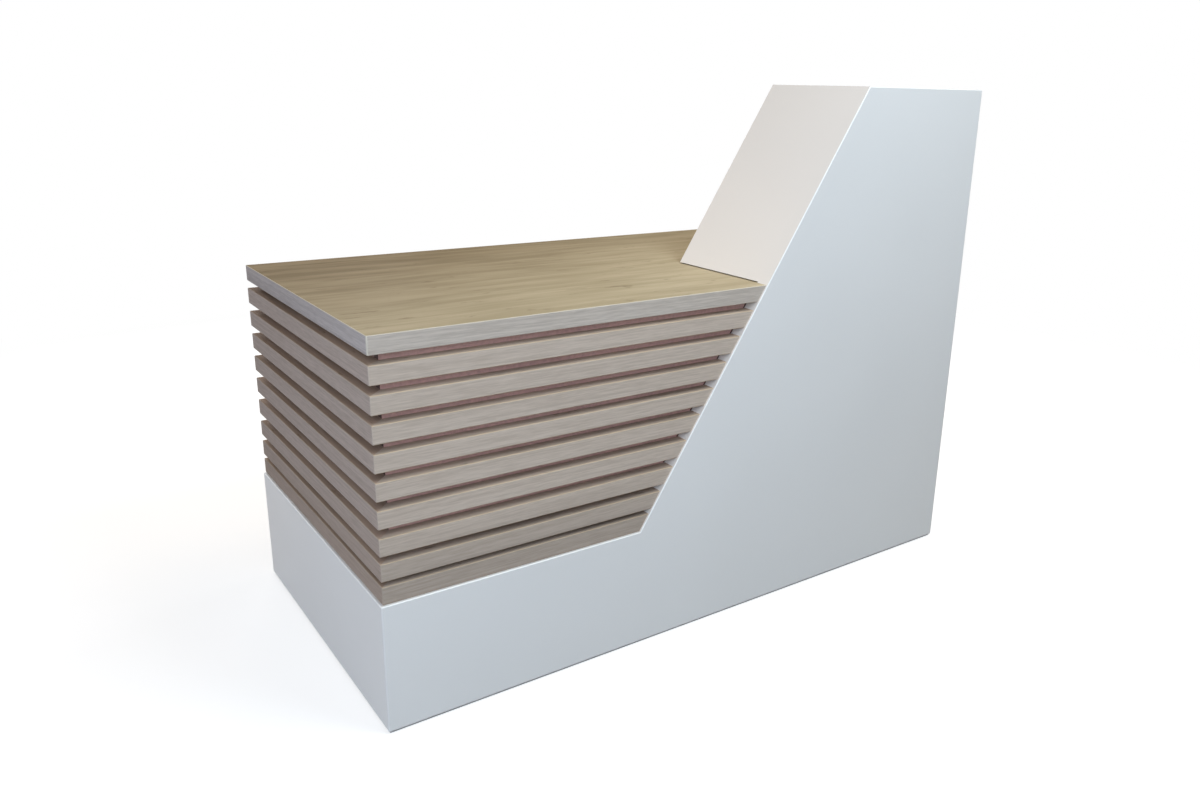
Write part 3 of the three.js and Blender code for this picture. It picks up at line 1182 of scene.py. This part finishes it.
@dataclass(frozen=True)
class Axes:
    """A fixing's own axes: where it starts, the way it points, and two directions across that."""

    origin: Array
    size: Array
    along: Array
    side: Array
    up: Array

    @classmethod
    def of(cls, node: str, along: Direction) -> "Axes":
        """Starts at the near end of a node's box, in the middle of its section.

        Args:
            node: the node's name.
            along: the way the fixing points, along X, Y or Z.

        Returns:
            The axes, with side x up = along, and the box's size in X, Y and Z.
        """
        low, high = (np.array(corner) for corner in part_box(node))
        way = np.array(along, float)
        origin = 0.5 * (low + high) - 0.5 * way * (high - low)
        up = np.array([1.0, 0.0, 0.0]) if abs(way[2]) > 0.5 else np.array([0.0, 0.0, 1.0])
        return cls(origin, high - low, way, np.cross(up, way), up)

    def extent(self, way: Array) -> float:
        """Gives the box's size along one of the axes."""
        return float(np.abs(way) @ self.size)

    def places(self, along: Array, side: Array, up: Array) -> Array:
        """Turns own coordinates into places: origin + along + side + up, each along its own axis."""
        parts = zip(np.broadcast_arrays(along, side, up), (self.along, self.side, self.up))
        return self.origin + sum(part[..., None] * way for part, way in parts)

    def ringed(self, name: str, radius: Array, height: Array, looped: bool = False) -> bpy.types.Object:
        """Skins rings about the axis: height along it, radius (cos a, sin a) across it.

        Args:
            name: the piece's name.
            radius: radius of each row and column in metres.
            height: height of each row in metres.
            looped: whether the last ring joins the first.

        Returns:
            The new object.
        """
        angle = clockwise(radius.shape[1])
        places = self.places(height, radius * np.cos(angle), radius * np.sin(angle))
        return grid_piece(name, places, looped)


@dataclass
class AngleBracket:
    """A pressed steel angle: a strip with rounded ends, bent round a corner."""

    bend_radius: float = 4.5 * MM
    end_radius: float = 6.0 * MM
    edge_radius: float = 0.5 * MM
    steel: float = 2.5 * MM
    end_steps: int = 6
    bend_steps: int = 8

    def path(self, leg: float) -> tuple[Array, Array, Array, Array]:
        """Carries the strip's middle line up the panel, round the bend and along the worktop.

        Args:
            leg: outside length of each leg in metres.

        Returns:
            Distance from the panel, height below the worktop, and the outward normal's two parts.
        """
        half, bend = 0.5 * self.steel, self.bend_radius
        to_end = self.end_radius * (1.0 - np.cos(np.linspace(0.0, 0.5 * math.pi, self.end_steps + 1)))
        straight = np.concatenate([to_end, [leg - half - bend]])
        angle = np.linspace(math.pi, 0.5 * math.pi, self.bend_steps + 1)[1:-1]
        flat, none = np.ones(len(straight)), np.zeros(len(straight))
        away = np.concatenate([half * flat, half + bend + bend * np.cos(angle), leg - straight[::-1]])
        height = np.concatenate([straight - leg, -half - bend + bend * np.sin(angle), -half * flat])
        normal_away = np.concatenate([-flat, np.cos(angle), none])
        normal_up = np.concatenate([none, np.sin(angle), flat])
        return away, height, normal_away, normal_up

    def section(self, half_width: float) -> Array:
        """Draws the strip's section: a rectangle with its four corners rounded.

        Args:
            half_width: half the strip's width in metres.

        Returns:
            Points across the strip and out of it, clockwise.
        """
        edge = self.edge_radius
        wide, thick = half_width - edge, 0.5 * self.steel - edge
        corners = ((wide, thick, 90.0), (wide, -thick, 0.0), (-wide, -thick, -90.0), (-wide, thick, -180.0))
        return np.concatenate([arc_points((x, y), edge, start, start - 90.0) for x, y, start in corners])

    def build(self, node: str, inward: Direction) -> bpy.types.Object:
        """Sweeps the strip's section along its path.

        A row's half width is w - r + sqrt(r^2 - (r - t)^2) at t from an end, and w from r on.

        Args:
            node: the node that it stands for.
            inward: the way from the panel into the desk.

        Returns:
            The new object.
        """
        axes = Axes.of(node, inward)
        leg = axes.extent(axes.up)
        half_width = 0.5 * axes.extent(axes.side)
        away, height, normal_away, normal_up = self.path(leg)
        from_end = np.minimum(leg + height, leg - away)
        short = np.clip(self.end_radius - from_end, 0.0, self.end_radius)
        width = half_width - self.end_radius + np.sqrt(self.end_radius ** 2 - short ** 2)
        across, out = self.section(half_width).T
        return grid_piece(f"{node}_pressed", axes.places(
            away[:, None] + normal_away[:, None] * out,
            (width / half_width)[:, None] * across,
            0.5 * leg + height[:, None] + normal_up[:, None] * out,
        ))


@dataclass
class PanScrew:
    """A pan-head wood screw with a cross recess."""

    head_radius: float = 4.2 * MM
    head_height: float = 2.6 * MM
    dome: float = 1.3 * MM
    dome_drop: float = 0.25 * MM
    head_ease: float = 0.2 * MM
    shank_radius: float = 2.0 * MM
    tip: float = 4.0 * MM
    point_radius: float = 0.3 * MM
    recess_depth: float = 1.4 * MM
    recess_reach: float = 2.4 * MM
    recess_half: float = 0.5 * MM
    recess_soft: float = 0.3 * MM
    face_span: Span = (0.04, 0.97)
    face_rows: int = 20
    sides: int = 56

    def inside(self, distance: Array, limit: float) -> Array:
        """Tells how far inside a limit of the recess a distance lies, from 0 to 1 over its soft wall."""
        return np.clip((limit - distance) / self.recess_soft + 0.5, 0.0, 1.0)

    def build(self, node: str, along: Direction) -> bpy.types.Object:
        """Turns the head, rim, shank and tip, and presses the cross into the head.

        The head's face is dome (r / R)^2 below its top, and the cross adds its depth where a point is
        within half a width of either arm and within reach of the middle.

        Args:
            node: the node that it stands for.
            along: the way the screw is driven.

        Returns:
            The new object.
        """
        axes = Axes.of(node, along)
        length = axes.extent(axes.along)
        face = np.linspace(*self.face_span, self.face_rows)[:, None] * self.head_radius * np.ones(self.sides)
        angle = clockwise(self.sides)
        across, along_arm = np.sort(np.abs([face * np.cos(angle), face * np.sin(angle)]), axis=0)
        recess = self.inside(across, self.recess_half) * self.inside(along_arm, self.recess_reach)
        face_height = self.dome * (face / self.head_radius) ** 2 + self.recess_depth * recess
        below = np.array([
            (self.head_radius, self.dome + self.dome_drop),
            (self.head_radius, self.head_height - self.head_ease),
            (self.head_radius - self.head_ease, self.head_height),
            (self.shank_radius, self.head_height),
            (self.shank_radius, length - self.tip),
            (self.point_radius, length),
        ])
        radius = np.concatenate([face, np.repeat(below[:, :1], self.sides, axis=1)])
        height = np.concatenate([face_height, np.repeat(below[:, 1:], self.sides, axis=1)])
        return axes.ringed(f"{node}_pan_head", radius, height)


@dataclass
class LevellingFoot:
    """A round pad on a threaded stud, and the moulded block that the stud turns in."""

    pad_radius: float = 20.0 * MM
    pad_rim: float = 5.0 * MM
    pad_ease: float = 1.2 * MM
    pad_slope: float = 70.0
    neck_radius: float = 9.0 * MM
    neck_height: float = 9.0 * MM
    stud_radius: float = 5.0 * MM
    stud_run_in: float = 0.5 * MM
    stud_tip: float = 1.0 * MM
    stud_taper: float = 0.9 * MM
    thread_depth: float = 0.8 * MM
    thread_pitch: float = 1.5 * MM
    rows_per_pitch: int = 6
    bore_radius: float = 5.25 * MM
    bore_ease: float = 0.6 * MM
    corner_power: float = 14.0
    block_arris: float = 1.6 * MM
    foot_sides: int = 40
    block_sides: int = 80

    def foot(self, node: str) -> bpy.types.Object:
        """Turns the pad and the stud, whose radius is the crest less the thread's depth at its root.

        Args:
            node: the node that it stands for.

        Returns:
            The new object.
        """
        axes = Axes.of(node, UPWARD)
        top = axes.extent(axes.along)
        ease = self.pad_ease
        lower = arc_points((self.pad_radius - ease, ease), ease, -90.0, 0.0)
        upper = arc_points((self.pad_radius - ease, self.pad_rim - ease), ease, 0.0, self.pad_slope)
        neck = [(self.neck_radius, self.neck_height), (self.stud_radius, self.neck_height)]
        start, end = self.neck_height + self.stud_run_in, top - self.stud_tip
        rows = int((end - start) / self.thread_pitch) * self.rows_per_pitch
        stud = np.stack([np.full(rows, self.stud_radius), np.linspace(start, end, rows)], axis=-1)
        tip = [(self.stud_radius - self.stud_taper, top)]
        profile = np.concatenate([lower, upper, neck, stud, tip])
        radius, height = (np.repeat(part[:, None], self.foot_sides, axis=1) for part in profile.T)
        threaded = np.zeros((len(profile), 1))
        threaded[-rows - 1:-1] = self.thread_depth
        radius -= threaded * (1.0 - thread_wave(height, clockwise(self.foot_sides), self.thread_pitch))
        return axes.ringed(f"{node}_turned", radius, height)

    def block(self, node: str) -> bpy.types.Object:
        """Moulds the block: a rounded square round a bore, with its arrises eased by quarter circles.

        The square's radius at angle a is h / (|cos a|^n + |sin a|^n)^(1 / n), with h half its width.

        Args:
            node: the node that it stands for.

        Returns:
            The new object.
        """
        axes = Axes.of(node, UPWARD)
        half, top = 0.5 * axes.size[0], axes.extent(axes.along)
        angle, power = clockwise(self.block_sides), self.corner_power
        square = half * (np.abs(np.cos(angle)) ** power + np.abs(np.sin(angle)) ** power) ** (-1.0 / power)
        ease, flare = self.block_arris, self.bore_ease
        lower = arc_points((-ease, ease), ease, -90.0, 0.0)
        upper = arc_points((-ease, top - ease), ease, 0.0, 90.0)
        wall = np.concatenate([lower, upper])
        bore = np.array([(flare, top), (0.0, top - flare), (0.0, flare), (flare, 0.0)])
        bored = np.repeat(self.bore_radius + bore[:, :1], self.block_sides, axis=1)
        radius = np.concatenate([square + wall[:, :1], bored])
        height = np.repeat(np.concatenate([wall, bore])[:, 1:], self.block_sides, axis=1)
        return axes.ringed(f"{node}_moulded", radius, height, looped=True)


@dataclass
class Fixings:
    """The worktop brackets and their screws, and the levelling feet in their blocks."""

    inward: tuple[Direction, ...] = (
        (1.0, 0.0, 0.0),
        (1.0, 0.0, 0.0),
        (0.0, 1.0, 0.0),
        (0.0, 1.0, 0.0),
        (-1.0, 0.0, 0.0),
        (-1.0, 0.0, 0.0),
    )

    def build(self, store: FinishStore) -> None:
        """Makes and dresses the fixings of each station, which looks from its panel into the desk.

        Args:
            store: the finishes.
        """
        bracket, screw, leveller = AngleBracket(), PanScrew(), LevellingFoot()
        for station, inward in enumerate(self.inward, start=1):
            outward = tuple(-part for part in inward)
            node = f"worktop_bracket_{station}"
            store.dress(bracket.build(node, inward), Finish.ZINC, node)
            for node, along in ((f"worktop_screw_{station}", UPWARD), (f"panel_screw_{station}", outward)):
                store.dress(screw.build(node, along), Finish.ZINC, node)
            node = f"levelling_block_{station}"
            store.dress(leveller.block(node), Finish.NYLON, node)
            node = f"levelling_foot_{station}"
            store.dress(leveller.foot(node), Finish.FOOT_ZINC, node, f"foot_{station}")


# The studio

@dataclass(frozen=True)
class SoftLight:
    """A square lamp that points at the desk."""

    name: str
    place: Triple
    aim: Triple
    size: float
    watts: float
    colour: Colour

    def build(self) -> None:
        """Hangs the lamp."""
        lamp = bpy.data.lights.new(self.name, "AREA")
        lamp.shape = "SQUARE"
        lamp.size = self.size
        lamp.energy = self.watts
        lamp.color = self.colour
        holder = bpy.data.objects.new(self.name, lamp)
        holder.location = self.place
        toward = np.array(self.aim) - np.array(self.place)
        holder.rotation_euler = (
            math.atan2(math.hypot(toward[0], toward[1]), -toward[2]),
            0.0,
            math.atan2(toward[1], toward[0]) - math.pi / 2.0,
        )
        bpy.context.scene.collection.objects.link(holder)


@dataclass
class Studio:
    """A pale floor, soft lamps and a white surround."""

    floor_half: float = 30.0
    floor_near: float = 1.3
    floor_far: float = 3.4
    floor_lift: float = 0.62
    floor_pale: float = 0.55
    floor_bounce: Colour = (0.32, 0.31, 0.29)
    slit_inset: float = 3.5 * MM
    ambient: float = 0.16

    def lamps(self) -> list[SoftLight]:
        """Lists the lamps: a warm ceiling light, cool lights in front and fills on the other sides.

        Returns:
            The lamps.
        """
        warm = (1.0, 0.78, 0.5)
        neutral = (1.0, 0.98, 0.95)
        cool = (0.75, 0.86, 1.0)
        blue = (0.5, 0.68, 1.0)
        pale = (0.82, 0.93, 1.0)
        side_blue = (0.55, 0.68, 1.0)
        desk = (0.0, -0.2, 0.7)
        tower = (0.3, -0.3, 0.8)
        return [
            SoftLight("ceiling_light", (0.9, -0.7, 4.4), tower, 1.8, 36.0, warm),
            SoftLight("back_left_light", (-1.6, 2.2, 2.4), (0.1, 0.0, 0.9), 1.4, 9.5, warm),
            SoftLight("front_left_light", (-2.1, -2.3, 1.6), desk, 1.6, 43.0, cool),
            SoftLight("front_light", (-1.0, -3.4, 1.9), desk, 1.6, 8.0, blue),
            SoftLight("front_top_light", (0.4, -1.6, 2.5), tower, 1.0, 28.0, pale),
            SoftLight("left_fill", (-3.2, 0.2, 1.0), (-0.5, 0.0, 0.6), 1.6, 8.6, side_blue),
            SoftLight("right_fill", (3.0, 0.8, 1.3), (0.4, 0.0, 0.6), 1.6, 28.0, neutral),
            SoftLight("back_fill", (-0.2, 3.0, 1.1), (0.0, 0.1, 0.6), 1.8, 36.0, neutral),
        ]

    @staticmethod
    def seen(tree: bpy.types.NodeTree) -> Socket:
        """Adds a value that is 1 on camera, glossy and transmitted rays, and 0 on the rest.

        Args:
            tree: the node tree that needs it.

        Returns:
            The value's socket.
        """
        rays = tree.nodes.new("ShaderNodeLightPath").outputs
        value = rays["Is Camera Ray"]
        for ray in ("Is Glossy Ray", "Is Transmission Ray"):
            widest = tree.nodes.new("ShaderNodeMath")
            widest.operation = "MAXIMUM"
            tree.links.new(value, widest.inputs[0])
            tree.links.new(rays[ray], widest.inputs[1])
            value = widest.outputs[0]
        return value

    def floor(self) -> None:
        """Lays the floor, which shows the desk's shadow nearby and fades into the white surround.

        It is lifted towards white where the camera sees it, but not in the slit below the white panels.
        """
        half = self.floor_half
        corners = np.pad(rectangle(-half, -half, half, half), ((0, 0), (0, 1)))
        floor = piece_from_mesh("studio_floor", corners, [(0, 1, 2, 3)], [False])
        nodes = Nodes("studio_floor")
        place = nodes.place()
        distance = nodes.node("VectorMath", {0: place}, operation="LENGTH").outputs["Value"]
        far = nodes.ramp(distance, (self.floor_near, self.floor_far))
        seen = self.seen(nodes.tree)
        near_colour = nodes.blend(far, (self.floor_pale,) * 3, (0.0, 0.0, 0.0))
        lift = nodes.math("MULTIPLY_ADD", far, 1.0 - self.floor_lift, self.floor_lift)
        x, y, _ = nodes.parts(place)
        for panel in ("front_panel", "plinth_side_panel"):
            low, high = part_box(panel)
            under = nodes.math("MULTIPLY", *(
                nodes.math("COMPARE", part, 0.5 * (start + end), 0.5 * (end - start) - self.slit_inset)
                for part, start, end in ((x, low.x, high.x), (y, low.y, high.y))
            ))
            lift = nodes.math("MULTIPLY", lift, nodes.math("SUBTRACT", 1.0, under))
        nodes.feed(nodes.shader, {
            "Base Color": nodes.blend(seen, self.floor_bounce, near_colour),
            "Roughness": 1.0,
            "Specular IOR Level": 0.0,
            "Emission Color": (1.0, 1.0, 1.0, 1.0),
            "Emission Strength": nodes.math("MULTIPLY", lift, seen),
        })
        floor.data.materials.append(nodes.material)

    def world(self) -> None:
        """Surrounds the desk with soft light that camera, glossy and transmitted rays see as white."""
        world = bpy.data.worlds.new("studio_world")
        world.use_nodes = True
        tree = world.node_tree
        background = tree.nodes["Background"]
        background.inputs["Color"].default_value = (1.0, 1.0, 1.0, 1.0)
        strength = tree.nodes.new("ShaderNodeMapRange")
        strength.inputs["To Min"].default_value = self.ambient
        strength.inputs["To Max"].default_value = 1.0
        tree.links.new(self.seen(tree), strength.inputs["Value"])
        tree.links.new(strength.outputs[0], background.inputs["Strength"])
        bpy.context.scene.world = world

    def build(self) -> None:
        """Sets up the floor, the surround, the lamps and the view transform."""
        self.floor()
        self.world()
        lamps = self.lamps()
        for lamp in lamps:
            lamp.build()
        bpy.context.scene.view_settings.view_transform = "Standard"
        LOG.info("studio: floor, surround and %d lamps", len(lamps))


@dataclass
class PhotoCamera:
    """The camera at the photograph's place, angle and framing, for a picture of 1200 x 800."""

    place: Triple = (-1.2886, -1.8743, 1.1497)
    tilt: float = 73.026
    roll: float = -1.354
    turn: float = -35.791
    lens: float = 29.14
    sensor: float = 36.0
    shift: Span = (-0.0426, -0.0130)
    reach: float = 200.0

    def build(self) -> None:
        """Places the camera and makes it the scene's own."""
        camera = bpy.data.cameras.new("photo_camera")
        camera.sensor_fit = "HORIZONTAL"
        camera.sensor_width = self.sensor
        camera.lens = self.lens
        camera.shift_x, camera.shift_y = self.shift
        camera.clip_end = self.reach
        holder = bpy.data.objects.new("photo_camera", camera)
        holder.location = self.place
        holder.rotation_euler = tuple(math.radians(angle) for angle in (self.tilt, self.roll, self.turn))
        bpy.context.scene.collection.objects.link(holder)
        bpy.context.scene.camera = holder


def main() -> None:
    """Builds the camera, the desk's sub-assemblies and the studio, in order."""
    logging.basicConfig(level=logging.INFO, format="%(name)s: %(message)s")
    store = FinishStore()
    PhotoCamera().build()
    for assembly in (FrontCladding(), SlatStack(), Worktop(), Tower(), Carcass(), Fixings()):
        assembly.build(store)
    Studio().build()


if __name__ == "__main__":
    main()
